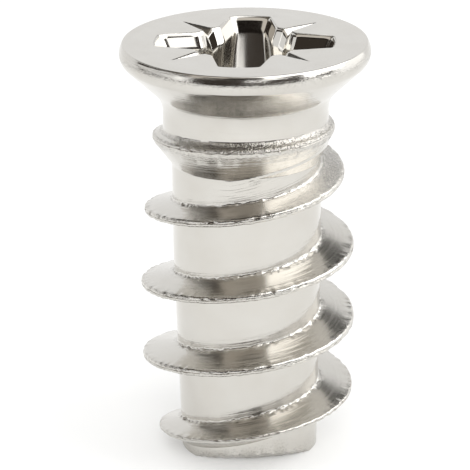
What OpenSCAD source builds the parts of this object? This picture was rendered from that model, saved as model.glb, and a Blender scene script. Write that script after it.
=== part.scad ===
// Euro screw: a countersunk steel screw with a coarse rolled thread and a blunt cut end,
// made to be driven into the 5 mm system holes of cabinet sides.
// The screw stands on its cut end, with its axis on +Z and the head at the top. Millimetres.

/* [Overall] */
// Length from the cut end to the top of the head
screw_length = 12.5; // [11:0.1:25]

/* [Head] */
// Diameter of the head
head_d = 7.3; // [6.8:0.1:9]
// Height of the upright land round the head
rim_h = 0.42; // [0.3:0.02:0.8]
// Radius that rounds the top edge of the land
rim_edge = 0.25; // [0.05:0.01:0.25]
// Radius that rounds the bottom edge of the land
land_edge = 0.26; // [0.05:0.01:0.3]
// Included angle of the countersunk underside
countersink_angle = 96; // [80:1:100]
// Radius with which the countersink runs into the neck
neck_fillet = 0.9; // [0.2:0.05:1.2]

/* [Shank] */
// Diameter of the plain neck under the head
neck_d = 4.84; // [4.6:0.02:5.0]
// Length of the neck, from the foot of the countersink to the last ridge of the thread
neck_length = 1.02; // [0.6:0.02:3]
// Height of the cone between the neck and the core, where the thread rolls end
roll_cone_h = 0.62; // [0.2:0.02:0.8]
// Drop from the last ridge of the thread to the top of that cone
roll_cone_drop = 0.34; // [0.1:0.02:0.8]
// Diameter of the core between the turns of the thread
core_d = 4.36; // [4.1:0.01:4.5]
// Diameter of the core at the cut end
tip_d = 4.04; // [3.4:0.02:4.08]
// Length over which the core narrows to the cut end
tip_taper_length = 6; // [3:0.5:7]
// Height of the broken edge that shearing leaves along the front of the cut end
break_h = 0.32; // [0.1:0.02:0.4]
// Width of the broken edge
break_w = 0.55; // [0.3:0.05:0.8]

/* [Thread] */
// Outside diameter of the thread
thread_d = 6.3; // [5.6:0.1:6.6]
// Rise of the thread in one turn
thread_pitch = 2.27; // [1.8:0.01:2.6]
// Angle of each flank, from square to the axis
flank_angle = 16; // [10:1:25]
// Angle of the lower flank where the thread starts at the cut end
lead_angle = 45; // [25:1:50]
// Width of the crest
crest_w = 0.18; // [0.1:0.02:0.3]
// Size of the break between flank and core
root_break = 0.07; // [0.05:0.01:0.15]
// Height of the thread's middle where it starts, above the cut end
thread_start_h = 0.12; // [0.1:0.02:0.6]
// Direction in which the thread starts
thread_start_angle = 100; // [0:1:360]
// Turns in which the crest gains nearly two thirds of its height
lead_turns = 0.24; // [0.15:0.01:0.5]
// Turns over which the crest sinks to the last ridge
run_out_turns = 2; // [1:0.1:2.5]
// Diameter of the last ridge, under the neck
ridge_d = 5.12; // [5:0.02:5.6]
// Width of the last ridge's crest
ridge_w = 0.14; // [0.1:0.02:0.6]
// Angle of the last ridge's upper flank, which flares into the neck
ridge_angle = 55; // [20:1:60]
// Angle of the last ridge's lower flank, which runs out towards the cone below
ridge_under_angle = 50; // [20:1:60]
// Turns over which the flanks lean over to these angles
lean_turns = 0.9; // [0.5:0.05:1.2]
// Turns over which the thread's rise dies away
level_turns = 0.4; // [0.2:0.02:0.6]
// Turns of level ridge that end the thread
ridge_turns = 0.42; // [0.3:0.02:0.6]
// Turns over which the ridge sinks into the neck at its end
fade_turns = 0.25; // [0.15:0.01:0.3]

/* [Drive recess] */
// Span of the cross from wing to wing at the top of the head
recess_span = 5.2; // [4.6:0.1:5.6]
// Depth of the recess, without its point
recess_depth = 2.3; // [1.8:0.1:2.6]
// Width of a wing at its end, below the flared mouth
wing_w = 0.86; // [0.7:0.02:1.1]
// Angle by which each side of a wing opens towards the axis
wing_spread = 13; // [0:1:18]
// Slope of the wings' ends, from the axis
wing_angle = 24; // [15:1:28]
// Depth of the flared mouth of the wings
mouth_depth = 0.45; // [0.3:0.05:0.8]
// Flare of the wings' ends in the mouth, from the axis
mouth_angle = 30; // [20:1:40]
// Share by which the mouth makes the wings wider at the top
mouth_flare = 1.2; // [1.05:0.05:1.3]
// Diameter of the round middle at the top of the head
middle_d = 3.3; // [2.8:0.1:3.6]
// Slope of the middle's wall, from the axis
middle_angle = 9; // [5:1:12]
// Included angle of the point at the bottom
point_angle = 120; // [90:5:140]
// Reach of the four marks between the wings, from the axis
mark_reach = 2.75; // [2.2:0.05:2.9]
// Depth of the marks where they leave the middle
mark_depth = 0.2; // [0.1:0.02:0.3]
// Turn of the recess about the axis
recess_turn = -4; // [-45:1:45]

/* [Hidden] */

nickel = [0.80, 0.79, 0.76];

// Round parts are exact; this sets how finely they are drawn on screen
$fn = 96;
// Steps along each rounded corner of the profile
corner_steps = 6;
// Rings of the thread in one turn
rings_per_turn = 48;
// A cut reaches this far past the face that it opens
over = 0.5;

head_r = head_d / 2;
neck_r = neck_d / 2;
core_r = core_d / 2;
tip_r = tip_d / 2;
thread_r = thread_d / 2;
ridge_r = ridge_d / 2;

// Heights up the axis
land_z = screw_length - rim_h;
countersink_slope = tan(countersink_angle / 2);
countersink_foot_z = land_z - (head_r - neck_r) / countersink_slope;
ridge_z = countersink_foot_z - neck_length;
cone_top_z = ridge_z - roll_cone_drop;
cone_foot_z = cone_top_z - roll_cone_h;

// Points of an arc about a centre, from one angle to another
function arc(centre, radius, from, to) =
    [for (i = [0 : corner_steps])
        let (a = from + (to - from) * i / corner_steps)
        centre + radius * [cos(a), sin(a)]];

// Half the turn that the profile makes where the countersink meets the upright neck or land
countersink_half = countersink_angle / 4;
// How far a rounded corner there starts from the sharp one
fillet_set = neck_fillet * tan(countersink_half);
edge_set = land_edge * tan(countersink_half);

// Half section of the plain screw, from below the cut end round to the axis at the top
shank_profile = [
    [0, -over],
    [tip_r, -over],
    [tip_r, 0],
    [core_r, tip_taper_length],
    [core_r, cone_foot_z],
    [neck_r, cone_top_z],
];
neck_profile = arc([neck_r + neck_fillet, countersink_foot_z - fillet_set], neck_fillet,
                   180, 180 - countersink_angle / 2);
land_profile = concat(
    arc([head_r - land_edge, land_z + edge_set], land_edge, -countersink_angle / 2, 0),
    arc([head_r - rim_edge, screw_length - rim_edge], rim_edge, 0, 90),
    [[0, screw_length]]
);

module plain_screw() {
    rotate_extrude() polygon(concat(shank_profile, neck_profile, land_profile));
}

// The thread is one section carried up the helix; turns are counted from its start
level_start = (ridge_z - thread_pitch * level_turns / 2 - thread_start_h) / thread_pitch;
thread_turns = level_start + level_turns + ridge_turns;
fade_start = thread_turns - fade_turns;
run_out_start = fade_start - run_out_turns;
lean_start = level_start + level_turns / 2 - lean_turns;
// The crest starts and ends this far under the surface that it dies into
buried = 0.06;

function core_at(z) = tip_r + (core_r - tip_r) * min(1, z / tip_taper_length);

function helix_z(turn) =
    let (rising = min(turn, level_start), levelling = min(max(turn - level_start, 0), level_turns))
    thread_start_h + thread_pitch * (rising + levelling - levelling * levelling / (2 * level_turns));

// Share of the way through a stretch of the thread, from 0 to 1
function share(turn, start, turns) = min(max((turn - start) / turns, 0), 1);

// A value on the way from one to another
function between(from, to, way) = from + (to - from) * way;

// Share of the crest's height that it still lacks, turns after its start
function lacking(turn) = exp(-turn / lead_turns);

function crest_at(turn) =
    thread_r
    - (thread_r - tip_r + buried) * lacking(turn)
    - (thread_r - ridge_r) * share(turn, run_out_start, run_out_turns)
    - (ridge_r - neck_r + buried) * share(turn, fade_start, fade_turns);

function section_at(turn) =
    let (
        crest = crest_at(turn),
        middle = helix_z(turn),
        lead = sqrt(lacking(turn)),
        run_out = share(turn, run_out_start, run_out_turns),
        lean = share(turn, lean_start, lean_turns),
        lower_angle = between(between(flank_angle, lead_angle, lead), ridge_under_angle, lean),
        upper_angle = between(flank_angle, ridge_angle, lean),
        half_crest = between(crest_w, ridge_w, run_out) / 2,
        core = core_at(middle),
        root = min(core + root_break, crest - root_break / 2),
        inner = core - 2 * root_break,
        lower_foot = half_crest + (crest - root) * tan(lower_angle),
        upper_foot = half_crest + (crest - root) * tan(upper_angle)
    )
    [
        [inner, middle - lower_foot - (root - inner)],
        [root, middle - lower_foot],
        [crest, middle - half_crest],
        [crest, middle + half_crest],
        [root, middle + upper_foot],
        [inner, middle + upper_foot + (root - inner)],
    ];

ring_count = ceil(thread_turns * rings_per_turn);
ring_size = len(section_at(0));

module thread() {
    points = [
        for (i = [0 : ring_count])
            let (turn = thread_turns * i / ring_count, a = thread_start_angle + 360 * turn)
            for (p = section_at(turn)) [p[0] * cos(a), p[0] * sin(a), p[1]]
    ];
    sides = [
        for (i = [0 : ring_count - 1], j = [0 : ring_size - 1])
            let (
                a = i * ring_size + j,
                b = i * ring_size + (j + 1) % ring_size,
                c = a + ring_size,
                d = b + ring_size
            )
            each [[a, b, d], [a, d, c]]
    ];
    first_cap = [for (j = [ring_size - 1 : -1 : 0]) j];
    last_cap = [for (j = [0 : ring_size - 1]) ring_count * ring_size + j];
    polyhedron(points, concat(sides, [first_cap, last_cap]));
}

// Half sections of the recess, with heights measured down from the top of the head
mouth_r = recess_span / 2 - mouth_depth * tan(mouth_angle);
wing_foot_r = mouth_r - (recess_depth - mouth_depth) * tan(wing_angle);
middle_foot_r = middle_d / 2 - recess_depth * tan(middle_angle);
wing_reach = [
    [0, -recess_depth],
    [wing_foot_r, -recess_depth],
    [mouth_r, -mouth_depth],
    [recess_span / 2 + over * tan(mouth_angle), over],
    [0, over],
];
middle_reach = [
    [0, -recess_depth - middle_foot_r / tan(point_angle / 2)],
    [middle_foot_r, -recess_depth],
    [middle_d / 2 + over * tan(middle_angle), over],
    [0, over],
];

// Outline of two opposite wings, which open out towards the axis
wing_half = wing_w / 2;
wing_root_half = wing_half + mouth_r * tan(wing_spread);
wing_outline = [
    for (side = [1, -1])
        each [
            [side * mouth_r, -side * wing_half],
            [side * mouth_r, side * wing_half],
            [0, side * wing_root_half],
        ]
];

// The mouth's flare, carried on as far above the head as the cut reaches
flare_over = 1 + (mouth_flare - 1) * (mouth_depth + over) / mouth_depth;

module recess_wings() {
    intersection() {
        rotate_extrude() polygon(wing_reach);
        for (a = [0, 90])
            rotate([0, 0, a]) {
                translate([0, 0, -recess_depth - over])
                    linear_extrude(height = recess_depth + over) polygon(wing_outline);
                translate([0, 0, -mouth_depth])
                    linear_extrude(height = mouth_depth + over, scale = flare_over) polygon(wing_outline);
            }
    }
}

module recess_middle() {
    rotate_extrude() polygon(middle_reach);
}

// Four thin grooves that run out to nothing on the top of the head
module recess_marks() {
    start = middle_d / 2 - mark_depth;
    for (i = [0 : 3])
        rotate([0, 0, 45 + 90 * i])
            translate([start, 0, 0])
                rotate([0, 90, 0])
                    cylinder(h = mark_reach - start, r1 = mark_depth, r2 = 0, $fn = 4);
}

module drive_recess() {
    translate([0, 0, screw_length])
        rotate([0, 0, recess_turn]) {
            recess_wings();
            recess_middle();
            recess_marks();
        }
}

// What shearing took off the end: all below the cut, and a wedge that broke away along the front
module sheared_off() {
    translate([-head_r, -head_r, -2 * over])
        cube([head_d, head_d, 2 * over]);
    translate([0, break_w - tip_r, 0])
        rotate([-atan2(break_h, break_w), 0, 0])
            translate([-head_r, -head_r, -over])
                cube([head_d, head_r, over]);
}

module euro_screw() {
    color(nickel)
        difference() {
            union() {
                plain_screw();
                thread();
            }
            drive_recess();
            sheared_off();
        }
}

euro_screw();
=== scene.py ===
"""Looks of the euro screw: one nickel-plated steel screw on a white studio floor."""

import math

import bmesh
import bpy
import numpy as np
from mathutils import Matrix, Vector


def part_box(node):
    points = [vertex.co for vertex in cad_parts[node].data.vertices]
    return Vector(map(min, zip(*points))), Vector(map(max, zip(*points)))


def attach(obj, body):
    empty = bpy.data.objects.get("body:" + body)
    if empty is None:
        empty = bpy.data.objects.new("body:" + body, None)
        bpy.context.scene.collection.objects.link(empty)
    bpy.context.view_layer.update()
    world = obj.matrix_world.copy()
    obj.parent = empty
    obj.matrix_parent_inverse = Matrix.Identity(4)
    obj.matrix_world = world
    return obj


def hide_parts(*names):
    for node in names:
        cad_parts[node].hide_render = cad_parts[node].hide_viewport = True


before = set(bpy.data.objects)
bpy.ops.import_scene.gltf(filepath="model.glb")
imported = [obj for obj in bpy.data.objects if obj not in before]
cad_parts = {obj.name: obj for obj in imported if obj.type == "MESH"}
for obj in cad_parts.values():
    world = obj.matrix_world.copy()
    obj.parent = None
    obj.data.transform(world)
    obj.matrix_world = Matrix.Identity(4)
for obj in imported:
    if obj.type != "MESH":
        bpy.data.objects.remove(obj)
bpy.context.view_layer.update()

MM = 0.001
IMAGE_PX = 470
SENSOR_MM = 36

# Sizes of the screw in millimetres. They are the solid's, apart from finer slopes and rounding
cad_low, cad_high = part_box("euro_screw")
SCREW_LENGTH = (cad_high.z - cad_low.z) / MM
HEAD_R = (cad_high.x - cad_low.x) / MM / 2
RIM_H = 0.42
# The rim leans back by these degrees at its foot and at its top
RIM_LEAN_LOW = 9
RIM_LEAN_TOP = 33
RIM_EDGE = 0.02
LAND_EDGE = 0.4
LAND_DROP = 0.05
# The countersink is a little steeper than the solid's, from which the heights are counted
COUNTERSINK_HALF = math.radians(46.5)
SOLID_COUNTERSINK_HALF = math.radians(48)
NECK_FILLET = 0.9
NECK_R = 2.42
NECK_LENGTH = 1.02
ROLL_CONE_H = 0.5
ROLL_CONE_DROP = 0.45
CORE_R = 2.18
TIP_R = 2.02
TIP_TAPER_LENGTH = 6
# The break along the front of the cut end: height, width, turn, and how fast its edge curves
BREAK_H = 0.32
BREAK_W = 0.55
BREAK_TURN = math.radians(5)
BREAK_CURVE = 0.12

THREAD_R = 3.15
THREAD_PITCH = 2.27
FLANK_ANGLE = math.radians(16)
UPPER_ANGLE = math.radians(14)
LEAD_ANGLE = math.radians(45)
CREST_W = 0.18
# Share of its width that the first turn's crest has, and how far that turn sways up
FIRST_CREST = 0.55
FIRST_SWAY = 0.11
THREAD_START_H = 0.12
THREAD_START_ANGLE = math.radians(100)
# The crest gains most of its height within these turns, and begins these turns early, in the core
LEAD_TURNS = 0.24
EARLY_TURNS = 0.2
RUN_OUT_TURNS = 2
RIDGE_R = 2.6
RIDGE_W = 0.16
RIDGE_ANGLE = math.radians(20)
RIDGE_UNDER_ANGLE = math.radians(62)
UNDER_LEAN_TURNS = 0.9
LEAN_TURNS = 0.7
LEVEL_TURNS = 0.4
RIDGE_TURNS = 0.42
FADE_TURNS = 0.25
# Both ends of the thread sink this far into the core
BURIED = 0.06

RECESS_SPAN = 5.2
RECESS_DEPTH = 2.3
WING_HALF = 0.43
WING_SPREAD = math.tan(math.radians(13))
WING_SLOPE = math.tan(math.radians(24))
MOUTH_DEPTH = 0.45
MOUTH_SLOPE = math.tan(math.radians(27.5))
MOUTH_FLARE = 1.2
MIDDLE_R = 1.65
MIDDLE_SLOPE = math.tan(math.radians(9))
DRAWN_DEPTH = 0.5
DRAWN_SLOPE = 0.25
POINT_SLOPE = math.tan(math.radians(60))
MARK_REACH = 2.75
MARK_DEPTH = 0.2
RECESS_TURN = math.radians(-4)

# Heights up the axis
LAND_Z = SCREW_LENGTH - RIM_H
COUNTERSINK_FOOT_Z = LAND_Z - (HEAD_R - NECK_R) / math.tan(SOLID_COUNTERSINK_HALF)
RIDGE_Z = COUNTERSINK_FOOT_Z - NECK_LENGTH
CONE_TOP_Z = RIDGE_Z - ROLL_CONE_DROP
CONE_FOOT_Z = CONE_TOP_Z - ROLL_CONE_H
SEAT_FOOT_Z = LAND_Z - LAND_DROP - (HEAD_R - NECK_R) / math.tan(COUNTERSINK_HALF)
FILLET_FOOT_Z = SEAT_FOOT_Z - NECK_FILLET * math.tan(COUNTERSINK_HALF / 2)
# At the cone's foot the rolls left a fine line, this deep and reaching this far up and down
ROLL_LINE = 0.006
ROLL_LINE_H = 0.03
LINE_LOW_Z = CONE_FOOT_Z - ROLL_LINE_H
LINE_HIGH_Z = CONE_FOOT_Z + ROLL_LINE_H
# The shank's mesh ends and the head's begins here, on the plain neck
NECK_JOIN_Z = FILLET_FOOT_Z - 0.02
# Lay is the way across the surface, in millimetres, along which the lines of working follow each other
NECK_JOIN_LAY = NECK_R + NECK_JOIN_Z - RIDGE_Z

# Turns of the thread, counted from its start
LEVEL_START = (RIDGE_Z - THREAD_PITCH * LEVEL_TURNS / 2 - THREAD_START_H) / THREAD_PITCH
THREAD_TURNS = LEVEL_START + LEVEL_TURNS + RIDGE_TURNS
FADE_START = THREAD_TURNS - FADE_TURNS
RUN_OUT_START = FADE_START - RUN_OUT_TURNS
LEAN_START = LEVEL_START + LEVEL_TURNS / 2 - LEAN_TURNS
UNDER_LEAN_END = LEVEL_START + 0.37
UNDER_LEAN_START = UNDER_LEAN_END - UNDER_LEAN_TURNS
# Changes along the thread, each with the turn where it starts and the turns that it takes:
# the first turn sways up and back, and its thin crest grows to full width
SWAY_UP = (0.3, 0.25)
SWAY_BACK = (0.56, 0.3)
CREST_GROWS = (0.8, 0.4)
# The run-out is scuffed, apart from the stretch where the ridge begins
CLEAN_BEGINS = (LEVEL_START - 0.13, 0.15)
CLEAN_ENDS = (LEVEL_START + 0.2, 0.1)
# Past its end the helical mesh climbs to this height within these turns, and closes up there
CLOSE_Z = NECK_JOIN_Z + 0.1
CLOSE_TURNS = 0.1

# Columns of the mesh round the axis, and turns of the helical mesh
COLUMNS = 351
MESH_TURNS = 7


def between(first, last, way):
    """A value on the way from one to another."""
    return first + (last - first) * way


def share(value, start, width):
    """Share of the way through a stretch, from 0 to 1."""
    return np.clip((value - start) / width, 0, 1)


def smooth(way):
    """The same share, eased at both ends."""
    return way * way * (3 - 2 * way)


def hex_linear(code):
    """Linear RGBA of an sRGB hex colour."""
    parts = [int(code[i:i + 2], 16) / 255 for i in (1, 3, 5)]
    return [p / 12.92 if p <= 0.04045 else ((p + 0.055) / 1.055) ** 2.4 for p in parts] + [1]


# Random heights drawn for a line, and along each side of a surface, before they repeat
LINE_DRAWS = 4096
SURFACE_DRAWS = 512


def grit(places, grain, seed):
    """Smooth random heights from -1 to 1 along a line of places, with grains of the given size."""
    lattice = np.random.default_rng(seed).uniform(-1, 1, LINE_DRAWS)
    steps = np.asarray(places) / grain
    first = np.floor(steps).astype(int)
    way = smooth(steps - first)
    return between(lattice[first % LINE_DRAWS], lattice[(first + 1) % LINE_DRAWS], way)


def mottle(along, across, grain, seed):
    """The same over a surface, from places along and across it."""
    lattice = np.random.default_rng(seed).uniform(-1, 1, (SURFACE_DRAWS, SURFACE_DRAWS))
    u, v = np.broadcast_arrays(along / grain, across / grain)
    i, j = np.floor(u).astype(int), np.floor(v).astype(int)
    du, dv = smooth(u - i), smooth(v - j)
    left, right = i % SURFACE_DRAWS, (i + 1) % SURFACE_DRAWS
    low, high = j % SURFACE_DRAWS, (j + 1) % SURFACE_DRAWS
    near = between(lattice[left, low], lattice[right, low], du)
    far = between(lattice[left, high], lattice[right, high], du)
    return between(near, far, dv)


# The shank: core, cone, neck and thread as one mesh whose rows climb with the thread

def plain_radius(z):
    """Radius of the shank without its thread."""
    heights = [0, TIP_TAPER_LENGTH, LINE_LOW_Z, CONE_FOOT_Z, LINE_HIGH_Z, CONE_TOP_Z]
    radii = [TIP_R, CORE_R, CORE_R, CORE_R - ROLL_LINE, CORE_R + ROLL_LINE, NECK_R]
    return np.interp(z, heights, radii)


def helix_height(turn):
    """Height of the crest's middle. Near its start the real thread sways up a little."""
    rising = np.minimum(turn, LEVEL_START)
    levelling = np.clip(turn - LEVEL_START, 0, LEVEL_TURNS)
    sway = FIRST_SWAY * smooth(share(turn, *SWAY_UP)) * (1 - smooth(share(turn, *SWAY_BACK)))
    climbed = rising + levelling - levelling ** 2 / (2 * LEVEL_TURNS)
    return THREAD_START_H + sway + THREAD_PITCH * climbed


def lacking(turn):
    """Share of the crest's height that it still lacks, turns after its start."""
    return np.exp(-np.maximum(turn, -EARLY_TURNS) / LEAD_TURNS)


def crest_radius(turn):
    return (
        THREAD_R
        - (THREAD_R - TIP_R + BURIED) * lacking(turn)
        - (THREAD_R - RIDGE_R) * share(turn, RUN_OUT_START, RUN_OUT_TURNS)
        - (RIDGE_R - NECK_R + BURIED) * share(turn, FADE_START, FADE_TURNS)
    )


# Corners of the thread's section, from its lower root up to its upper root: how far each is rounded,
# the most of the side before and after it that the rounding takes, and its steps
ROOT_ROUND = 0.06
CREST_ROUND = 0.08
RIDGE_FLARE = 0.12
SIDE_SHARES = [(0.45, 0.45), (0.3, 0.4), (0.4, 0.25), (0.6, 0.45)]
CORNER_STEPS = [3, 4, 4, 5]
# Steps along the lower flank, the crest and the upper flank
SIDE_STEPS = [4, 4, 6]
# Core below and above the section that its roots may be rounded into, and the least rise of a crest
CORE_BELOW = 0.3
CORE_ABOVE = 0.4
LEAST_RISE = 0.002
# A side that has closed up counts as this long
LEAST_LENGTH = 1e-9
# Rounds of finding where the flanks meet the core
FOOT_TRIES = 6
# Rows on the plain core above each turn: one close to the root, some evenly spread, and the others level
# with the cone's edges
ROOT_ROW = 0.03
EVEN_ROWS = 2
LEVEL_ROWS = [
    LINE_LOW_Z,
    CONE_FOOT_Z,
    LINE_HIGH_Z,
    between(CONE_FOOT_Z, CONE_TOP_Z, 0.35),
    between(CONE_FOOT_Z, CONE_TOP_Z, 0.65),
    CONE_TOP_Z - 0.04,
    CONE_TOP_Z,
]


def rounded_path(corners, trims):
    """Points along the section's corners, each rounded. The first and last corner only give directions."""
    rows = []
    last_end = None
    for n in range(1, len(corners) - 1):
        back = corners[n - 1] - corners[n]
        ahead = corners[n + 1] - corners[n]
        back_length = np.linalg.norm(back, axis=-1, keepdims=True)
        ahead_length = np.linalg.norm(ahead, axis=-1, keepdims=True)
        most = np.minimum(SIDE_SHARES[n - 1][0] * back_length, SIDE_SHARES[n - 1][1] * ahead_length)
        trim = np.minimum(trims[n - 1], most)
        start = corners[n] + back * trim / np.maximum(back_length, LEAST_LENGTH)
        end = corners[n] + ahead * trim / np.maximum(ahead_length, LEAST_LENGTH)
        if last_end is not None:
            steps = SIDE_STEPS[n - 2]
            rows += [between(last_end, start, i / steps) for i in range(1, steps)]
        for way in np.linspace(0, 1, CORNER_STEPS[n - 1] + 1):
            rows.append(between(between(start, corners[n], way), between(corners[n], end, way), way))
        last_end = end
    return np.stack(rows, axis=-2)


def section_rows(turn):
    """Heights and radii of the thread's section at a turn, from its lower to its upper root."""
    middle = helix_height(turn)
    run_out = share(turn, RUN_OUT_START, RUN_OUT_TURNS)
    half_crest = between(CREST_W, RIDGE_W, run_out) / 2
    half_crest = half_crest * between(FIRST_CREST, 1, smooth(share(turn, *CREST_GROWS)))
    lean = smooth(share(turn, LEAN_START, LEAN_TURNS))
    low_angle = between(FLANK_ANGLE, LEAD_ANGLE, np.sqrt(np.minimum(lacking(turn), 1)))
    under_lean = smooth(share(turn, UNDER_LEAN_START, UNDER_LEAN_TURNS))
    low_angle = between(low_angle, RIDGE_UNDER_ANGLE, under_lean)
    high_angle = between(UPPER_ANGLE, RIDGE_ANGLE, lean)
    # Each flank's foot is found where the flank meets the core, cone or neck
    low_core = high_core = plain_radius(middle)
    for _ in range(FOOT_TRIES):
        low_rise = np.maximum(crest_radius(turn) - low_core, LEAST_RISE)
        high_rise = np.maximum(crest_radius(turn) - high_core, LEAST_RISE)
        low_foot = middle - half_crest - low_rise * np.tan(low_angle)
        high_foot = middle + half_crest + high_rise * np.tan(high_angle)
        low_core = plain_radius(low_foot)
        high_core = plain_radius(high_foot)
    crest = np.maximum(crest_radius(turn), np.maximum(low_core, high_core) + LEAST_RISE)
    corners = [
        (low_foot - CORE_BELOW, low_core),
        (low_foot, low_core),
        (middle - half_crest, crest),
        (middle + half_crest, crest),
        (high_foot, high_core),
        (high_foot + CORE_ABOVE, high_core),
    ]
    corners = [np.stack(corner, axis=-1) for corner in corners]
    flare = between(ROOT_ROUND, RIDGE_FLARE, run_out ** 2)[..., None]
    rows = rounded_path(corners, [ROOT_ROUND, CREST_ROUND, CREST_ROUND, flare])
    return rows[..., 0], rows[..., 1]


def section_places():
    """Rows of each stretch of the section, by name."""
    places = {}
    row = 0
    corner_names = ["low_root", "low_edge", "high_edge", "high_root"]
    side_names = ["low_flank", "crest", "high_flank", None]
    for corner, side, arc, steps in zip(corner_names, side_names, CORNER_STEPS, SIDE_STEPS + [1]):
        places[corner] = slice(row, row + arc + 1)
        row += arc + 1
        places[side] = slice(row, row + steps - 1)
        row += steps - 1
    return places


def gap_rows(low, high):
    """Heights of the rows on the plain core, from one turn's upper root to the next one's lower root."""
    even_top = np.maximum(low, np.minimum(high, LEVEL_ROWS[0]))
    # The first row stays close to the root, so that its beads don't smear up the core
    even = [np.minimum(low + ROOT_ROW, np.maximum(low, high))]
    even += [between(low, even_top, (i + 1) / (EVEN_ROWS + 1)) for i in range(EVEN_ROWS)]
    level = [np.clip(z, low, np.maximum(low, high)) for z in LEVEL_ROWS]
    return np.stack(even + level, axis=-1)


# Marks of shearing, in millimetres: the ragged edge of the break, and nicks round the rest of the cut end
RAGGED_DEPTH = 0.08
RAGGED_GRAIN = 0.3
FINE_RAGGED_DEPTH = 0.07
FINE_RAGGED_GRAIN = 0.11
SHEAR_NICK = 0.014
SHEAR_GRAIN = 0.1
SHEAR_FACE_DEPTH = 0.05
SHEAR_FACE_GRAIN = 0.16
# The break's roughness begins within this height
BROKEN_FADE = 0.06
# Above the cut end the shank is torn, and dull further up: how much, and how high
END_TORN = 0.5
END_TORN_H = 0.1
END_DULL = 0.15
END_DULL_H = 0.75
END_DULL_FADE = 0.5
# Rings of the sheared face, as shares of its radius
SHEAR_RINGS = (0.96, 0.91, 0.86, 0.8, 0.72, 0.6, 0.45, 0.3, 0.1)


def break_height(x, y):
    """Height of the cut end: flat, with an edge that broke away in a shallow curve along the front."""
    ahead = x * math.sin(BREAK_TURN) - y * math.cos(BREAK_TURN)
    aside = x * math.cos(BREAK_TURN) + y * math.sin(BREAK_TURN)
    return np.maximum(0, (BREAK_W - TIP_R + ahead + BREAK_CURVE * aside * aside) * BREAK_H / BREAK_W)


# Marks of rolling, in millimetres: tears in the crest's edges, a seam along the crest, a groove along the
# lower root of the first turns, beads along the upper root and the grain of scuffed metal
TEAR_DEPTH = 0.035
TEAR_GRAIN = 0.17
FINE_TEAR_GRAIN = 0.09
TEAR_SWAY = 0.012
SWAY_GRAIN = 0.13
SEAM_DEPTH = 0.018
SEAM_CHANGE = 0.012
SEAM_GRAIN = 0.2
ROOT_GROOVE = 0.01
GROOVE_TURNS = 1.2
BEAD_SIZE = 0.03
BEAD_GRAIN = 0.13
FINE_BEAD_GRAIN = 0.07
BEAD_CHANGE_GRAIN = 0.9
SCUFF_DEPTH = 0.012
SCUFF_GRAIN = 0.09
# Shares of finer grain in a tear and in a bead, the grit that is too low to tear, how even the beads are
# along the turn and how much they change, and how far they rise for their size
FINE_TEAR = 0.6
FINE_BEAD = 0.5
TEAR_FROM = 0.15
BEAD_EVEN = 0.7
BEAD_CHANGE = 0.3
BEAD_RISE = 0.7
# Where marks begin to show and how soon they show in full: by the crest's height over the core, and on the
# scuffed run-out and its ridge by the share of the run-out
MARKS_SHOW = (0.03, 0.2)
SCUFF_SHOWS = (0.36, 0.16)
RIDGE_SHOWS = (0.6, 0.15)
# How torn each stretch of the section is on the turns, and the upper side of the run-out and its ridge
TORN_TURNS = {"low_edge": 0.6, "crest": 0.6, "high_edge": 0.3, "high_root": 0.4}
TORN_RUN_OUT = 0.7
TORN_RIDGE = 1.15
# Share of its tears that the first turn's lower edge has, and of the scuffing that the clean stretch lacks
FIRST_TORN = 0.5
CLEAN_LACKS = 0.85
# How dull the rolls leave the flanks and roots
ROLLED_DULL = 0.3
# How marks change over the rows of a stretch, from its lowest row up
GROOVE_ROWS = np.array([0, 1, 0.6, 0])
SEAM_ROWS = np.array([0.4, 1, 0.4])
BEAD_ROWS = np.array([0, 0.6, 1, 1, 0.5, 0])
TORN_ROOT_ROWS = np.array([1, 1, 1, 0.7, 0.3, 0])
SCUFFED_ROOT_ROWS = np.array([1, 1, 1, 0.9, 0.5, 0])
ROLLED_LOW_ROWS = np.array([0, 0.4, 0.8, 1])
ROLLED_HIGH_ROWS = np.array([1, 1, 0.7, 0.4, 0.1, 0])


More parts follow.
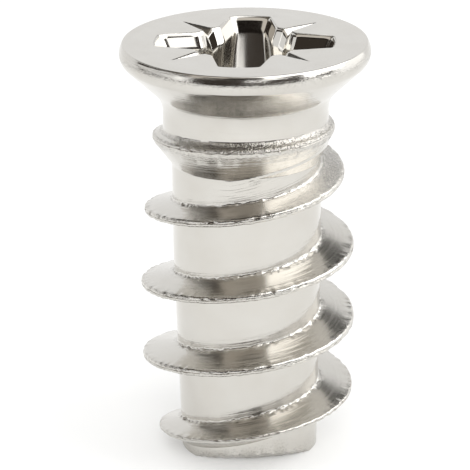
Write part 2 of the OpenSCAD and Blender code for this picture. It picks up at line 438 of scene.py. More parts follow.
def torn_section(turn, heights, radii, places):
    """What rolling does to the thread. Gives how torn and how dull its surface is."""
    along = turn * 2 * math.pi * THREAD_R
    run_out = share(turn, RUN_OUT_START, RUN_OUT_TURNS)
    shown = smooth(share(crest_radius(turn) - plain_radius(helix_height(turn)), *MARKS_SHOW))
    for name, seed in (("low_edge", 3), ("high_edge", 5)):
        coarse = grit(along, TEAR_GRAIN, seed)
        fine = FINE_TEAR * grit(along, FINE_TEAR_GRAIN, seed + 10)
        tear = np.maximum(0, coarse + fine - TEAR_FROM)
        radii[..., places[name]] -= (TEAR_DEPTH * tear * shown)[..., None]
        sway = TEAR_SWAY * grit(along, SWAY_GRAIN, seed + 20) * shown
        heights[..., places[name]] += sway[..., None]
    groove = ROOT_GROOVE * (turn < GROOVE_TURNS) * shown
    radii[..., places["low_root"]] -= groove[..., None] * GROOVE_ROWS
    seam = (SEAM_DEPTH + SEAM_CHANGE * grit(along, SEAM_GRAIN, 7)) * shown
    radii[..., places["crest"]] -= seam[..., None] * SEAM_ROWS
    beat = grit(along, BEAD_GRAIN, 8) + FINE_BEAD * grit(along, FINE_BEAD_GRAIN, 18)
    change = BEAD_EVEN + BEAD_CHANGE * grit(along, BEAD_CHANGE_GRAIN, 28)
    bead = BEAD_SIZE * beat * change * shown * (1 - run_out)
    radii[..., places["high_root"]] += bead[..., None] * BEAD_ROWS
    heights[..., places["high_root"]] += BEAD_RISE * bead[..., None] * BEAD_ROWS

    burr = np.zeros_like(heights)
    for name, weight in TORN_TURNS.items():
        burr[..., places[name]] = weight
    clean = smooth(share(turn, *CLEAN_BEGINS)) - smooth(share(turn, *CLEAN_ENDS))
    scuffed = (smooth(share(run_out, *SCUFF_SHOWS)) * (1 - CLEAN_LACKS * clean))[..., None]
    burr[..., places["high_root"]] *= TORN_ROOT_ROWS
    torn = between(TORN_RUN_OUT, TORN_RIDGE, smooth(share(run_out, *RIDGE_SHOWS)))[..., None]
    fading = {"high_edge": 1, "high_flank": 1, "high_root": SCUFFED_ROOT_ROWS}
    for name, weight in fading.items():
        burr[..., places[name]] = between(burr[..., places[name]], torn * weight, scuffed)
    grown = smooth(share(turn, *CREST_GROWS))
    burr[..., places["low_edge"]] *= between(FIRST_TORN, 1, grown)[..., None]
    burr *= shown[..., None]
    rolled = np.zeros_like(heights)
    for name in ("low_root", "low_flank", "high_flank", "high_root"):
        rolled[..., places[name]] = ROLLED_DULL * (1 - scuffed)
    rolled[..., places["high_root"]] *= ROLLED_HIGH_ROWS
    rolled[..., places["low_root"]] *= ROLLED_LOW_ROWS
    steps = np.hypot(np.diff(heights, axis=-1, prepend=0), np.diff(radii, axis=-1, prepend=0))
    across = np.cumsum(steps, axis=-1)
    radii += SCUFF_DEPTH * burr * mottle(along[..., None], across, SCUFF_GRAIN, 9)
    return burr, rolled


# The cone is scuffed by this much, which fades in and out over this height and ends this far above it
CONE_SCUFF = 0.2
CONE_FADE = 0.2
CONE_OVER = 0.1
# Turns closer than this count as this far apart
LEAST_GAP = 0.01


def shank_grid():
    """Heights, radii and surface marks of the shank, a column for each direction."""
    column = np.arange(COLUMNS)
    angles = THREAD_START_ANGLE + 2 * math.pi * column / COLUMNS
    turn = column[:, None] / COLUMNS + np.arange(MESH_TURNS + 1)[None, :] - 1
    heights, radii = section_rows(turn)
    burr, rolled = torn_section(turn, heights, radii, section_places())
    middle = helix_height(turn)[..., None]
    # Past the thread's end its section climbs to the neck's top
    climb = smooth(share(turn, THREAD_TURNS, CLOSE_TURNS))[..., None]
    heights = between(heights, CLOSE_Z, climb)
    lay = radii + heights - middle

    gap = gap_rows(heights[:, :-1, -1], heights[:, 1:, 0])
    bare = np.zeros_like(gap)
    scuffed = CONE_SCUFF * smooth(share(gap, CONE_FOOT_Z, CONE_FADE))
    scuffed *= smooth(share(-gap, -CONE_TOP_Z - CONE_OVER, CONE_FADE))
    grooved = np.where(turn[:, :-1] < GROOVE_TURNS, ROOT_GROOVE, 0)
    slack = np.repeat(grooved[..., None], radii.shape[-1], axis=-1)
    slack = np.concatenate([slack, bare], axis=-1)
    radii = np.concatenate([radii[:, :-1], bare], axis=-1)
    burr = np.concatenate([burr[:, :-1], scuffed], axis=-1)
    rolled = np.concatenate([rolled[:, :-1], bare], axis=-1)
    gap_height = np.maximum(heights[:, 1:, :1] - heights[:, :-1, -1:], LEAST_GAP)
    way = share(gap, heights[:, :-1, -1:], gap_height)
    gap_lay = plain_radius(gap) + gap - between(middle[:, :-1], middle[:, 1:], way)
    lay = np.concatenate([lay[:, :-1], gap_lay], axis=-1)
    heights = np.concatenate([heights[:, :-1], gap], axis=-1)
    rows = heights.shape[-1]
    grids = (heights, radii, burr, rolled, lay)
    heights, radii, burr, rolled, lay = (grid.reshape(COLUMNS, -1) for grid in grids)
    heights = np.maximum.accumulate(heights, axis=1)
    radii = np.maximum(radii, plain_radius(heights) - slack.reshape(COLUMNS, -1))

    # Everything under the cut end, and over the join with the neck, closes up to one point a column
    round_mm = angles * TIP_R
    edge = break_height(TIP_R * np.cos(angles), TIP_R * np.sin(angles))
    coarse = RAGGED_DEPTH * np.abs(grit(round_mm, RAGGED_GRAIN, 11))
    fine = FINE_RAGGED_DEPTH * np.abs(grit(round_mm, FINE_RAGGED_GRAIN, 12))
    edge += smooth(share(edge, 0, BROKEN_FADE)) * (coarse + fine)
    edge += SHEAR_NICK * np.abs(grit(round_mm, SHEAR_GRAIN, 13))
    torn_up_to = edge[:, None] + END_TORN_H
    burr = np.maximum(burr, END_TORN * smooth(share(torn_up_to - heights, 0, END_TORN_H)))
    for i in range(COLUMNS):
        radius = np.interp(edge[i], heights[i], radii[i])
        under = heights[i] < edge[i]
        radii[i, under] = radius
        heights[i, under] = edge[i]
    over = heights > NECK_JOIN_Z
    radii[over] = NECK_R
    heights[over] = NECK_JOIN_Z
    lay[over] = NECK_JOIN_LAY
    return angles, heights, radii, burr, rolled, lay, rows


# The head: neck fillet, countersink, land and rounded rim, turned about the axis

def arc_points(centre, radius, start, end, steps):
    """Points of an arc in the half section, as radius and height, with angles in degrees."""
    turns = np.radians(np.linspace(start, end, steps + 1))
    return [(centre[0] + radius * math.cos(a), centre[1] + radius * math.sin(a)) for a in turns]


# How torn the rim is, row by row from the land to the flat top
RIM_BURR = [
    0, 0, 0, 0.05, 0.1, 0.2, 0.35, 0.5, 0.55, 0.4, 0.3, 0.2, 0.15, 0.1, 0.1, 0.1, 0.05, 0.05, 0,
]
# Steps of the head's half section: neck fillet, countersink, foot of the rim, and rim
FILLET_STEPS = 12
SEAT_STEPS = 6
FOOT_STEPS = 9
RIM_STEPS = 16
# An edge's middle row lies this share of the edge's size from its corner
EDGE_ROW = 0.3
# Pits in the rim, in millimetres
PIT_DEPTH = 0.008
PIT_GRAIN = 0.11
# A ring on the flat top this far in from its edge keeps the edge's shading off it
TOP_HOLD = 0.06


def head_profile():
    """Half section of the head from the neck to the flat top, with the burr of each point."""
    half = math.degrees(COUNTERSINK_HALF)
    edge_set = LAND_EDGE * math.tan(COUNTERSINK_HALF / 2)
    fillet = arc_points((NECK_R + NECK_FILLET, FILLET_FOOT_Z), NECK_FILLET, 180, 180 - half, FILLET_STEPS)
    foot_middle = (HEAD_R - LAND_EDGE, LAND_Z - LAND_DROP + edge_set)
    foot = arc_points(foot_middle, LAND_EDGE, -half, RIM_LEAN_LOW, FOOT_STEPS)
    rim_foot = foot[-1]
    low, high = math.radians(RIM_LEAN_LOW), math.radians(RIM_LEAN_TOP)
    rim_round = (SCREW_LENGTH - rim_foot[1]) / (math.sin(high) - math.sin(low))
    rim_middle = (rim_foot[0] - rim_round * math.cos(low), rim_foot[1] - rim_round * math.sin(low))
    rim = arc_points(rim_middle, rim_round, RIM_LEAN_LOW, RIM_LEAN_TOP, RIM_STEPS)[1:-1]
    top_r = rim_middle[0] + rim_round * math.cos(high)
    rim += [
        (top_r, SCREW_LENGTH - EDGE_ROW * RIM_EDGE),
        (top_r - RIM_EDGE, SCREW_LENGTH),
        (top_r - TOP_HOLD, SCREW_LENGTH),
    ]
    seat_start, seat_end = np.array(fillet[-1]), np.array(foot[0])
    seat = [tuple(between(seat_start, seat_end, i / SEAT_STEPS)) for i in range(1, SEAT_STEPS)]
    points = np.array(fillet + seat + foot + rim)
    burr = np.zeros(len(points))
    first = len(fillet + seat)
    burr[first + 1:first + 1 + len(RIM_BURR)] = RIM_BURR
    return points, burr


# The drive recess: rings of one outline that changes with depth, and the flat top round it

MOUTH_R = RECESS_SPAN / 2 - MOUTH_DEPTH * MOUTH_SLOPE
WING_ROOT_HALF = WING_HALF + MOUTH_R * WING_SPREAD
MIDDLE_FOOT_R = MIDDLE_R - RECESS_DEPTH * MIDDLE_SLOPE - DRAWN_DEPTH * DRAWN_SLOPE
MARK_START = MIDDLE_R - MARK_DEPTH
# The punch leaves its edges rounded by about this much
MOUTH_EDGE = 0.04
CORNER_ROUND = 0.09
# Most of a wing's side that one rounded corner takes
CORNER_SHARE = 0.4
# How polished the mouth's edge and the recess under its mouth are, against the mouth itself
EDGE_POLISH = 0.3
DEEP_POLISH = 0.1
# Heading leaves the flat top smoother. Its lay is this share of the way in, so its lines are wider apart
TOP_LAY = 0.15
# The flat top changes from the recess's columns to the head's beyond this radius
TOP_RING_R = 2.95
# Columns of half a wing and half the middle beside it: over the wing's end, round a corner, along the side,
# and from the wing's root to the mark, where they crowd together by this power
END_COLUMNS = 5
CORNER_COLUMNS = 5
SIDE_COLUMNS = 8
MARK_COLUMNS = 12
MARK_CROWDING = 1.7
# Rows on the flat top as shares of the way in, down the recess in millimetres, and over its floor and its
# blunt point as shares of the way out
TOP_ROWS = (0, 0.12, 0.25, 0.38, 0.5, 0.62, 0.74, 0.85, 0.94, 1)
RECESS_ROWS = (0.04, 0.12, 0.22, 0.33, 0.42, 0.48, 0.6, 0.8, 1.05, 1.3, 1.6, 1.9, 2.15, 2.26)
FLOOR_ROWS = (0.97, 0.9, 0.8, 0.65)
POINT_ROWS = (0.85, 0.6, 0.35, 0.12)


def on_circle(radius, root_half):
    """Where a wing's side meets a circle about the axis."""
    a = 1 + WING_SPREAD ** 2
    b = -2 * WING_SPREAD * root_half
    c = root_half ** 2 - radius ** 2
    x = (-b + math.sqrt(b * b - 4 * a * c)) / (2 * a)
    return np.array([x, root_half - WING_SPREAD * x])


def polar(radius, angle):
    return np.stack([radius * np.cos(angle), radius * np.sin(angle)], axis=-1)


def half_outline(depth):
    """Half of one wing and half of the middle beside it, from the wing's end to 45 degrees."""
    flare = max(0, 1 - depth / MOUTH_DEPTH)
    root_half = WING_ROOT_HALF * (1 + (MOUTH_FLARE - 1) * flare)
    below = max(0, depth - MOUTH_DEPTH)
    reach = MOUTH_R + flare * MOUTH_DEPTH * MOUTH_SLOPE - below * WING_SLOPE
    middle = MIDDLE_R - depth * MIDDLE_SLOPE - min(depth, DRAWN_DEPTH) * DRAWN_SLOPE
    end_corner = on_circle(reach, root_half)
    inner_corner = on_circle(middle, root_half)
    along = (inner_corner - end_corner) / np.linalg.norm(inner_corner - end_corner)
    trim = min(CORNER_ROUND, CORNER_SHARE * np.linalg.norm(inner_corner - end_corner))
    end_angle = math.atan2(end_corner[1], end_corner[0]) - trim / reach
    inner_angle = math.atan2(inner_corner[1], inner_corner[0]) + trim / middle
    pieces = [polar(reach, np.linspace(0, end_angle, END_COLUMNS))[:-1]]
    way = np.linspace(0, 1, CORNER_COLUMNS)[:, None]
    ends = [
        (polar(reach, end_angle), end_corner, end_corner + along * trim),
        (inner_corner - along * trim, inner_corner, polar(middle, inner_angle)),
    ]
    corners = [between(between(a, b, way), between(b, c, way), way) for a, b, c in ends]
    side = between(ends[0][2], ends[1][0], np.linspace(0, 1, SIDE_COLUMNS)[1:-1, None])
    mark_way = 1 - (1 - np.linspace(0, 1, MARK_COLUMNS)[1:]) ** MARK_CROWDING
    pieces += [corners[0], side, corners[1]]
    pieces.append(polar(middle, between(inner_angle, math.pi / 4, mark_way)))
    return np.concatenate(pieces)


def recess_ring(depth):
    """The whole outline at one depth, in order round the axis."""
    half = half_outline(depth)
    mirrored = half[::-1] * [1, -1]
    wing = np.concatenate([mirrored[:-1], half[:-1]])
    rings = []
    for i in range(4):
        c, s = math.cos(i * math.pi / 2), math.sin(i * math.pi / 2)
        rings.append(wing @ np.array([[c, s], [-s, c]]))
    return np.concatenate(rings)


def mark_groove(xy):
    """Depth of the four marks at a place on the flat top."""
    angle = np.arctan2(xy[..., 1], xy[..., 0])
    radius = np.hypot(xy[..., 0], xy[..., 1])
    off = angle % (math.pi / 2) - math.pi / 4
    along = radius * np.cos(off)
    across = np.abs(radius * np.sin(off))
    half = MARK_DEPTH * (MARK_REACH - along) / (MARK_REACH - MARK_START)
    return np.maximum(0, half - across)


def recess_rows():
    """Places, depths and polish of each row, from the flat top's outer ring in and down to the point."""
    mouth = recess_ring(0)
    mouth_r = np.hypot(mouth[:, 0], mouth[:, 1])
    lip = mouth * (1 + MOUTH_EDGE / mouth_r)[:, None]
    outer = mouth * (TOP_RING_R / mouth_r)[:, None]
    rows = []
    for way in TOP_ROWS:
        ring = between(outer, lip, way)
        rows.append((ring, mark_groove(ring), 0.0))
    notch = mark_groove(mouth)
    edge = EDGE_ROW * MOUTH_EDGE
    rows.append((mouth * (1 + edge / mouth_r)[:, None], notch + edge, EDGE_POLISH))
    for depth in RECESS_ROWS:
        sunk = between(notch, RECESS_DEPTH, depth / RECESS_DEPTH)
        polish = 1.0 if depth < MOUTH_DEPTH else DEEP_POLISH
        rows.append((recess_ring(depth), sunk, polish))
    floor = recess_ring(RECESS_DEPTH)
    floor_r = np.hypot(floor[:, 0], floor[:, 1])
    floor_radii = [between(POINT_ROWS[0] * MIDDLE_FOOT_R, floor_r, way) for way in FLOOR_ROWS]
    floor_radii += [np.full_like(floor_r, way * MIDDLE_FOOT_R) for way in POINT_ROWS]
    for radius in floor_radii:
        rows.append((floor * (radius / floor_r)[:, None], floor_depth(radius), DEEP_POLISH))
    return rows


def floor_depth(radius):
    """Depth of the recess's floor: level in the wings, a blunt cone in the middle."""
    return RECESS_DEPTH + np.maximum(0, MIDDLE_FOOT_R - radius) / POINT_SLOPE


# Joining the rows into one closed skin

class Skin:
    """Vertices, faces and surface marks of the screw as they are added."""

    def __init__(self):
        self.points = []
        self.marks = {"burr": [], "rolled": [], "recess": [], "sheared": [], "lay": []}
        self.faces = []
        self.count = 0

    def add(self, x, y, z, **marks):
        """Adds vertices and returns their numbers."""
        points = np.stack(np.broadcast_arrays(x, y, z), axis=-1)
        shape = points.shape[:-1]
        self.points.append(points.reshape(-1, 3))
        for name, values in self.marks.items():
            values.append(np.broadcast_to(marks.get(name, 0.0), shape).reshape(-1))
        first = self.count
        self.count += self.points[-1].shape[0]
        return np.arange(first, self.count).reshape(shape)

    def quads(self, a, b, c, d):
        self.faces.append(np.stack([a, b, c, d], axis=-1).reshape(-1, 4))

    def rings(self, inner, outer):
        """Quads between two rings with the same columns."""
        self.quads(inner, np.roll(inner, -1), np.roll(outer, -1), outer)

    def fan(self, ring, point):
        ahead = np.roll(ring, -1)
        self.faces.append(np.stack([ring, ahead, np.full_like(ring, point)], axis=-1))


def zip_rings(outer, outer_angles, inner, inner_angles):
    """Triangles between two rings that are both in order round the axis."""
    whole = 2 * math.pi
    outer_places = list((outer_angles - outer_angles[0]) % whole) + [whole]
    place = (inner_angles - outer_angles[0]) % whole
    order = np.argsort(place)
    inner = inner[order]
    inner_places = list(place[order]) + [place[order][0] + whole]
    i, j = 0, 0
    triangles = []
    while i < len(outer) or j < len(inner):
        outer_next = i < len(outer) and (j == len(inner) or outer_places[i + 1] <= inner_places[j + 1])
        if outer_next:
            triangles.append((outer[i], outer[(i + 1) % len(outer)], inner[j % len(inner)]))
            i += 1
        else:
            triangles.append((outer[i % len(outer)], inner[(j + 1) % len(inner)], inner[j]))
            j += 1
    return np.array(triangles)


def add_shank(skin):
    """The helical mesh. Past the last column its rows go on a turn higher in the first."""
    angles, heights, radii, burr, rolled, lay, turn_rows = shank_grid()
    near_end = END_DULL * smooth(share(-heights, -END_DULL_H, END_DULL_FADE))
    x = radii * np.cos(angles)[:, None]
    y = radii * np.sin(angles)[:, None]
    numbers = skin.add(x, y, heights, burr=burr, rolled=rolled, sheared=near_end, lay=lay)
    shifted = np.concatenate([numbers[0, turn_rows:], np.full(turn_rows, numbers[0, -1])])
    ahead = np.concatenate([numbers[1:], shifted[None]])
    skin.quads(numbers[:, :-1], ahead[:, :-1], ahead[:, 1:], numbers[:, 1:])
    add_cut_end(skin, numbers[:, 0], angles, radii[:, 0], heights[:, 0])
    return numbers[:, -1], angles


def add_cut_end(skin, foot, angles, radius, height):
    """The sheared face under the screw, level where it stands and broken along the front."""
    last = foot
    for ring_number, way in enumerate(SHEAR_RINGS):
        x = way * radius * np.cos(angles)
        y = way * radius * np.sin(angles)
        torn = SHEAR_FACE_DEPTH * np.abs(grit(angles * radius, SHEAR_FACE_GRAIN, 30 + ring_number))
        broken = break_height(x, y)
        torn_face = broken + torn * smooth(share(broken, 0, BROKEN_FADE))
        z = np.minimum(torn_face, np.maximum(height, broken))
        ring = skin.add(x, y, z, sheared=1.0, lay=x)
        skin.rings(ring, last)
        last = ring
    middle = skin.add(0.0, 0.0, 0.0, sheared=1.0)
    skin.fan(last[::-1], int(middle))


def add_head(skin, ring, angles):
    profile, burr = head_profile()
    across = np.cumsum(np.hypot(*np.diff(profile, axis=0, prepend=profile[:1]).T))
    for (radius, height), mark, path in zip(profile, burr, across):
        pitted = radius - PIT_DEPTH * mark * np.abs(mottle(angles * HEAD_R, path, PIT_GRAIN, 21))
        x, y = pitted * np.cos(angles), pitted * np.sin(angles)
        upper = skin.add(x, y, height, burr=mark, lay=NECK_JOIN_LAY + path)
        skin.rings(ring, upper)
        ring = upper
    return ring, NECK_JOIN_LAY + across[-1] + TOP_LAY * profile[-1, 0]


def add_recess(skin, rim, rim_angles, top_lay):
    c, s = math.cos(RECESS_TURN), math.sin(RECESS_TURN)
    turn = np.array([[c, s], [-s, c]])
    last = None
    for xy, depth, mark in recess_rows():
        lay = 0.0 if mark else top_lay - TOP_LAY * np.hypot(xy[:, 0], xy[:, 1])
        x, y = (xy @ turn).T
        ring = skin.add(x, y, SCREW_LENGTH - depth, recess=mark, lay=lay)
        if last is None:
            skin.faces.append(zip_rings(rim, rim_angles, ring, np.arctan2(y, x)))
        else:
            skin.rings(last, ring)
        last = ring
    point = skin.add(0.0, 0.0, SCREW_LENGTH - floor_depth(0.0), recess=DEEP_POLISH)
    skin.fan(last, int(point))


# Edges that bend more than this stay sharp. Points and faces this small, in millimetres, are merged
SHARP_ANGLE = math.radians(38)
MERGE_DISTANCE = 0.0002
THIN_DISTANCE = 0.0001


def screw_mesh():
    skin = Skin()
    neck, angles = add_shank(skin)
    rim, top_lay = add_head(skin, neck, angles)
    add_recess(skin, rim, angles, top_lay)
    mesh = bpy.data.meshes.new("screw_skin")
    faces = [face for block in skin.faces for face in block.tolist()]
    mesh.from_pydata((np.concatenate(skin.points) * MM).tolist(), [], faces)
    for name, values in skin.marks.items():
        layer = mesh.attributes.new(name, "FLOAT", "POINT")
        layer.data.foreach_set("value", np.concatenate(values).astype(np.float32))
    # Rows that closed up are merged
    work = bmesh.new()
    work.from_mesh(mesh)
    bmesh.ops.remove_doubles(work, verts=work.verts, dist=MERGE_DISTANCE * MM)
    bmesh.ops.dissolve_degenerate(work, edges=work.edges, dist=THIN_DISTANCE * MM)
    for face in work.faces:
        face.smooth = True
    work.to_mesh(mesh)
    work.free()
    mesh.set_sharp_from_angle(angle=SHARP_ANGLE)
    return mesh


# Materials

def add_node(tree, kind, inputs=(), **settings):
    """Adds a node, sets its properties, and fills each input with a value or a link."""
    made = tree.nodes.new(kind)
    for name, value in settings.items():
        setattr(made, name, value)
    for name, value in dict(inputs).items():
        if isinstance(value, bpy.types.NodeSocket):
            tree.links.new(value, made.inputs[name])
        else:
            made.inputs[name].default_value = value
    return made


def new_tree(name):
    material = bpy.data.materials.new(name)
    material.use_nodes = True
    material.node_tree.nodes.clear()
    return material, material.node_tree


def per_mm(size_mm):
    """Scale that makes a pattern's features a real size."""
    return 1 / (size_mm * MM)


# Patterns in the plating, in millimetres: lines of working, grains of torn metal, and clouds of duller
# plate. Real lines are finer, but would not show
LINE_GAP = 0.06
LINE_LENGTH = 1.5
LINE_DEPTH = 0.005
GRAIN_SIZE = 0.05
GRAIN_DEPTH = 0.03
CLOUD_SIZE = 0.9
# Roughness of the plate from its smoothest to its roughest lines, and of the sheared steel
SMOOTH_ROUGH = 0.1
LINED_ROUGH = 0.19
SHEARED_ROUGH = 0.3
# Share of the roughness that the punch takes off, how dark the painted shade in the pits of torn metal
# gets, and how much of the torn metal's look the sheared steel has
PUNCH_POLISH = 0.6
PIT_SHADE_DARKNESS = 0.8
SHEARED_TORN = 0.3


def nickel_plated_steel():
    """Bright nickel over cold-formed steel: a warm mirror. Heading and rolling leave fine lines that run
    with the work, so that reflections smear along them, and the torn crests and edges glitter."""
    material, tree = new_tree("bright_nickel_plate_on_rolled_steel")
    place = add_node(tree, "ShaderNodeTexCoord").outputs["Object"]
    burr = add_node(tree, "ShaderNodeAttribute", attribute_name="burr").outputs["Fac"]
    rolled = add_node(tree, "ShaderNodeAttribute", attribute_name="rolled").outputs["Fac"]
    recess = add_node(tree, "ShaderNodeAttribute", attribute_name="recess").outputs["Fac"]
    sheared = add_node(tree, "ShaderNodeAttribute", attribute_name="sheared").outputs["Fac"]
    lay = add_node(tree, "ShaderNodeAttribute", attribute_name="lay").outputs["Fac"]

    # Lines of working follow the lay
    line_step = add_node(tree, "ShaderNodeMath", {0: lay, 1: 1 / LINE_GAP}, operation="MULTIPLY").outputs[0]
    line_lift = add_node(tree, "ShaderNodeCombineXYZ", {"Z": line_step}).outputs[0]
    line_run = [per_mm(LINE_LENGTH), per_mm(LINE_LENGTH), 0]
    run = add_node(tree, "ShaderNodeVectorMath", {0: place, 1: line_run}, operation="MULTIPLY").outputs[0]
    line_place = add_node(tree, "ShaderNodeVectorMath", {0: run, 1: line_lift}, operation="ADD").outputs[0]
    lines = add_node(
        tree, "ShaderNodeTexNoise", {"Vector": line_place, "Scale": 1.0, "Detail": 2.0},
    ).outputs["Fac"]
    grain = add_node(
        tree, "ShaderNodeTexNoise",
        {"Vector": place, "Scale": per_mm(GRAIN_SIZE), "Detail": 2.0, "Roughness": 0.6},
    ).outputs["Fac"]
    cloud = add_node(
        tree, "ShaderNodeTexNoise", {"Vector": place, "Scale": per_mm(CLOUD_SIZE), "Detail": 3.0},
    ).outputs["Fac"]

    # The plate's colour changes with the clouds, and painted shade darkens the pits between the grains of
    # torn metal
    dull = add_node(tree, "ShaderNodeMath", {0: sheared, 1: rolled}, operation="MAXIMUM").outputs[0]
    worn = add_node(
        tree, "ShaderNodeMath", {0: sheared, 1: SHEARED_TORN, 2: burr}, operation="MULTIPLY_ADD",
    ).outputs[0]
    plate = add_node(
        tree, "ShaderNodeMix",
        {"Factor": cloud, "A": hex_linear("#D4D2CD"), "B": hex_linear("#C9C5BE")},
        data_type="RGBA",
    ).outputs["Result"]
    # Painted shade: dark brown is put into the pits between the grains of torn metal, standing in for their
    # shadow
    spots = add_node(
        tree, "ShaderNodeMapRange",
        {"Value": grain, "From Min": 0.5, "From Max": 0.3, "To Min": 0.0, "To Max": PIT_SHADE_DARKNESS},
    ).outputs["Result"]
    painted_pit_shade = add_node(tree, "ShaderNodeMath", {0: spots, 1: worn}, operation="MULTIPLY").outputs[0]
    colour = add_node(
        tree, "ShaderNodeMix",
        {"Factor": painted_pit_shade, "A": plate, "B": hex_linear("#544C45")},
        data_type="RGBA",
    ).outputs["Result"]

    lined = add_node(
        tree, "ShaderNodeMapRange",
        {"Value": lines, "From Min": 0.3, "From Max": 0.7, "To Min": SMOOTH_ROUGH, "To Max": LINED_ROUGH},
    ).outputs["Result"]
    dulled = add_node(
        tree, "ShaderNodeMapRange",
        {"Value": dull, "From Min": 0.0, "From Max": 1.0, "To Min": lined, "To Max": SHEARED_ROUGH},
    ).outputs["Result"]
    # The punch's polished faces leave the recess's mouth brighter than the rest
    polish = add_node(
        tree, "ShaderNodeMath", {0: recess, 1: -PUNCH_POLISH, 2: 1.0}, operation="MULTIPLY_ADD",
    ).outputs[0]
    rough = add_node(tree, "ShaderNodeMath", {0: dulled, 1: polish}, operation="MULTIPLY").outputs[0]

    grit_height = add_node(tree, "ShaderNodeMath", {0: grain, 1: worn}, operation="MULTIPLY").outputs[0]
    grit_bump = add_node(
        tree, "ShaderNodeBump", {"Height": grit_height, "Strength": 1.0, "Distance": GRAIN_DEPTH * MM},
    ).outputs["Normal"]
    line_bump = add_node(
        tree, "ShaderNodeBump",
        {"Height": lines, "Strength": 1.0, "Distance": LINE_DEPTH * MM, "Normal": grit_bump},
    ).outputs["Normal"]
    shader = add_node(
        tree, "ShaderNodeBsdfPrincipled",
        {"Base Color": colour, "Metallic": 1.0, "Roughness": rough, "Normal": line_bump},
    )
    add_node(tree, "ShaderNodeOutputMaterial", {"Surface": shader.outputs[0]})
    return material


# Glow that lifts the paper to plain white
FLOOR_LIFT = 0.21


def studio_sheet():
    """White paper sheet: matt, and just white to the eye where no shadow falls."""
    material, tree = new_tree("matt_white_studio_paper")
    ray = add_node(tree, "ShaderNodeLightPath").outputs
    # The camera and the plating see the paper's glow. It puts no other light on anything
    mirrored = add_node(
        tree, "ShaderNodeMath",
        {0: ray["Is Glossy Ray"], 1: ray["Is Transmission Ray"]},
        operation="MAXIMUM",
    ).outputs[0]
    seen = add_node(
        tree, "ShaderNodeMath", {0: ray["Is Camera Ray"], 1: mirrored}, operation="MAXIMUM",
    ).outputs[0]
    lift = add_node(tree, "ShaderNodeEmission", {"Color": hex_linear("#FFFFFF"), "Strength": FLOOR_LIFT})
    none = add_node(tree, "ShaderNodeEmission", {"Strength": 0.0})
    paper = add_node(tree, "ShaderNodeBsdfDiffuse", {"Color": hex_linear("#E4E4E3")})
    glow = add_node(tree, "ShaderNodeMixShader", {0: seen, 1: none.outputs[0], 2: lift.outputs[0]})
    both = add_node(tree, "ShaderNodeAddShader", {0: paper.outputs[0], 1: glow.outputs[0]})
    add_node(tree, "ShaderNodeOutputMaterial", {"Surface": both.outputs[0]})
    return material


def lit_card(name, code, strength):
    """Card or softbox cloth that shows in the plating at one brightness."""
    material, tree = new_tree(name)
    glow = add_node(tree, "ShaderNodeEmission", {"Color": hex_linear(code), "Strength": strength})
    add_node(tree, "ShaderNodeOutputMaterial", {"Surface": glow.outputs[0]})
    return material


def fading_cloth():
    """Softbox cloth that dims away from its lamp, by the brightness marked at its corners."""
    material, tree = new_tree("fading_softbox_cloth")
    level = add_node(tree, "ShaderNodeAttribute", attribute_name="level").outputs["Fac"]
    glow = add_node(tree, "ShaderNodeEmission", {"Color": hex_linear("#FFFFFF"), "Strength": level})
    add_node(tree, "ShaderNodeOutputMaterial", {"Surface": glow.outputs[0]})
    return material


# The screw

def place_screw():
    screw = bpy.data.objects.new("screw_body", screw_mesh())
    bpy.context.scene.collection.objects.link(screw)
    screw.data.materials.append(nickel_plated_steel())
    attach(screw, "root")
    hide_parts("euro_screw")


# The studio

# The camera is the photo's, fitted to the screw's outline. The principal point is where its axis meets the
# picture
CAMERA_TARGET = Vector((0, 0, 5.98)) * MM
CAMERA_DISTANCE = 95 * MM
CAMERA_ELEVATION = math.radians(20.23)
CAMERA_ROLL = math.radians(-0.65)
PX_PER_MM = 33.82
PRINCIPAL_PX = (247.3, 252.9)


def place_camera():
    data = bpy.data.cameras.new("camera")
    data.sensor_width = SENSOR_MM
    data.lens = PX_PER_MM * CAMERA_DISTANCE / MM * SENSOR_MM / IMAGE_PX
    data.shift_x = 0.5 - PRINCIPAL_PX[0] / IMAGE_PX
    data.shift_y = PRINCIPAL_PX[1] / IMAGE_PX - 0.5
    data.clip_start = MM
    camera = bpy.data.objects.new("camera", data)
    bpy.context.scene.collection.objects.link(camera)
    back = Vector((0, -math.cos(CAMERA_ELEVATION), math.sin(CAMERA_ELEVATION)))
    turn = back.to_track_quat("Z", "Y").to_matrix() @ Matrix.Rotation(CAMERA_ROLL, 3, "Z")
    camera.matrix_world = Matrix.Translation(CAMERA_TARGET + back * CAMERA_DISTANCE) @ turn.to_4x4()
    bpy.context.scene.camera = camera


def place_panel(name, corners, material):
    mesh = bpy.data.meshes.new(name)
    mesh.from_pydata([Vector(corner) * MM for corner in corners], [], [list(range(len(corners)))])
    panel = bpy.data.objects.new(name, mesh)
    bpy.context.scene.collection.objects.link(panel)
    mesh.materials.append(material)
    return panel


def place_card(name, corners, material):
    """A panel that shows only in the plating. It casts no shadow."""
    card = place_panel(name, corners, material)
    card.visible_camera = False
    card.visible_diffuse = False
    card.visible_shadow = False
    card.visible_transmission = False
    return card


def sky_corner(azimuth, elevation, distance):
    """Place seen from the screw at an azimuth from the camera's side, in degrees, and a distance in mm."""
    a, e = math.radians(azimuth), math.radians(elevation)
    away = Vector((math.sin(a) * math.cos(e), -math.cos(a) * math.cos(e), math.sin(e)))
    return CAMERA_TARGET / MM + away * distance


# How far the paper reaches each way, in millimetres
FLOOR_REACH = 900
# Cards and cloths that the plating mirrors, each with its colour and brightness. Dark ones give the plating
# its dark bands, and the lit cloths its highlights
CARD_LOOKS = {
    "dark_room": ("#403A35", 1.0),
    "black_shade": ("#1E1A17", 1.0),
    "pale_ceiling": ("#E6E0D8", 1.0),
    "grey_ceiling": ("#746E66", 1.0),
    "dark_ceiling": ("#53524F", 1.0),
    "softbox_cloth": ("#FFFFFF", 2.8),
    "fill_cloth": ("#FFFFFF", 1.8),
    "window_pane": ("#FFFFFF", 1.6),
    "side_cloth": ("#FFFFFF", 1.6),
}
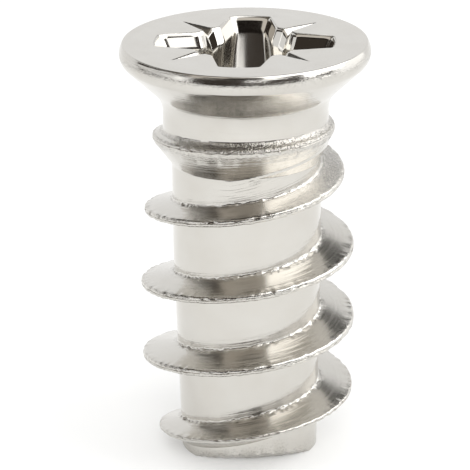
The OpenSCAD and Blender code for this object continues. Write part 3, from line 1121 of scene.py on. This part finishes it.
# Cards of the room, with corners in millimetres
ROOM_CARDS = {
    "room_front": ("dark_room", [(-119, -100, 0.5), (30, -100, 0.5), (30, -100, 84), (-119, -100, 84)]),
    "room_shade": ("black_shade", [(-119, -100, 84), (30, -100, 84), (30, -100, 102), (-119, -100, 102)]),
    "room_top": ("pale_ceiling", [(-119, -100, 102), (30, -100, 102), (30, -45, 102), (-119, -45, 102)]),
    "room_left": ("dark_room", [(-119, -100, 100), (-119, 60, 30), (-119, 60, 62), (-119, -100, 132)]),
    "wall_left": ("dark_room", [(-119, -48, 0.5), (-119, 40, 0.5), (-119, 40, 22), (-119, -48, 22)]),
    "window": ("window_pane", [(-118, -74, 14), (-118, -53, 14), (-118, -53, 66), (-118, -74, 66)]),
    "room_low": ("dark_room", [(30, -100, 20), (160, -100, 40), (160, -100, 150), (30, -100, 105)]),
    "room_right": ("dark_room", [(160, -100, 22), (160, -10, 18), (160, -10, 60), (160, -100, 66)]),
    "ceiling_near": ("grey_ceiling", [(-160, -130, 130), (60, -130, 130), (60, 40, 130), (-160, 40, 130)]),
    "ceiling_far": ("dark_ceiling", [(-160, 40, 130), (140, 40, 130), (140, 165, 130), (-160, 165, 130)]),
}
# Softboxes, with their distance in millimetres and corners by azimuth and elevation
SOFTBOXES = {
    "softbox": ("softbox_cloth", 95, [(20, 35), (56, 35), (136, 38), (180, 77)]),
    "softbox_skirt": ("softbox_cloth", 95, [(56, 18), (100, 18), (136, 38), (56, 35)]),
    "softbox_fade": ("fading_softbox_cloth", 95, [(15, 48), (20, 35), (180, 77), (-100, 80)]),
    "side_box": ("side_cloth", 92, [(50, 3), (135, 3), (135, 36), (95, 11), (50, 11)]),
    "fill_box": ("fill_cloth", 90, [(1, 26), (20, 26), (20, 35), (1, 35)]),
}
# Brightness at the corners of the fading cloth
FADE_LEVELS = [0.6, 2.8, 2.8, 0.6]
# Side of a lamp's square and how far it stands off, in millimetres
LAMP_SIZE = 60
LAMP_DISTANCE = 150


def place_floor():
    r = FLOOR_REACH
    place_panel("floor", [(-r, -r, 0), (r, -r, 0), (r, r, 0), (-r, r, 0)], studio_sheet())


def place_cards():
    """What the plating mirrors besides white: the dark room round the camera, a window, the ceilings and
    the softboxes."""
    cloths = {name: lit_card(name, *look) for name, look in CARD_LOOKS.items()}
    cloths["fading_softbox_cloth"] = fading_cloth()
    for name, (cloth, corners) in ROOM_CARDS.items():
        place_card(name, corners, cloths[cloth])
    for name, (cloth, distance, corners) in SOFTBOXES.items():
        box = place_card(name, [sky_corner(a, e, distance) for a, e in corners], cloths[cloth])
        if name == "softbox_fade":
            level = box.data.attributes.new("level", "FLOAT", "POINT")
            level.data.foreach_set("value", FADE_LEVELS)


def place_lamp(name, azimuth, elevation, watts):
    data = bpy.data.lights.new(name, "AREA")
    data.size = LAMP_SIZE * MM
    data.energy = watts
    lamp = bpy.data.objects.new(name, data)
    bpy.context.scene.collection.objects.link(lamp)
    lamp.location = sky_corner(azimuth, elevation, LAMP_DISTANCE) * MM
    lamp.rotation_euler = (lamp.location - CAMERA_TARGET).to_track_quat("Z", "Y").to_euler()
    lamp.visible_camera = False
    lamp.visible_glossy = False


def light_studio():
    world = bpy.data.worlds.new("white_studio")
    world.use_nodes = True
    tree = world.node_tree
    tree.nodes.clear()
    white = add_node(tree, "ShaderNodeBackground", {"Color": hex_linear("#FFFFFF"), "Strength": 1.0})
    add_node(tree, "ShaderNodeOutputWorld", {"Surface": white.outputs[0]})
    bpy.context.scene.world = world

    # The key light throws the screw's soft shadow to the left, and the one in front clears the floor at the
    # screw's foot. The plating mirrors the cards instead of them
    place_lamp("key_light", azimuth=70, elevation=52, watts=0.035)
    place_lamp("front_light", azimuth=0, elevation=32, watts=0.06)
    bpy.context.scene.view_settings.view_transform = "Standard"


place_screw()
place_camera()
place_floor()
place_cards()
light_studio()
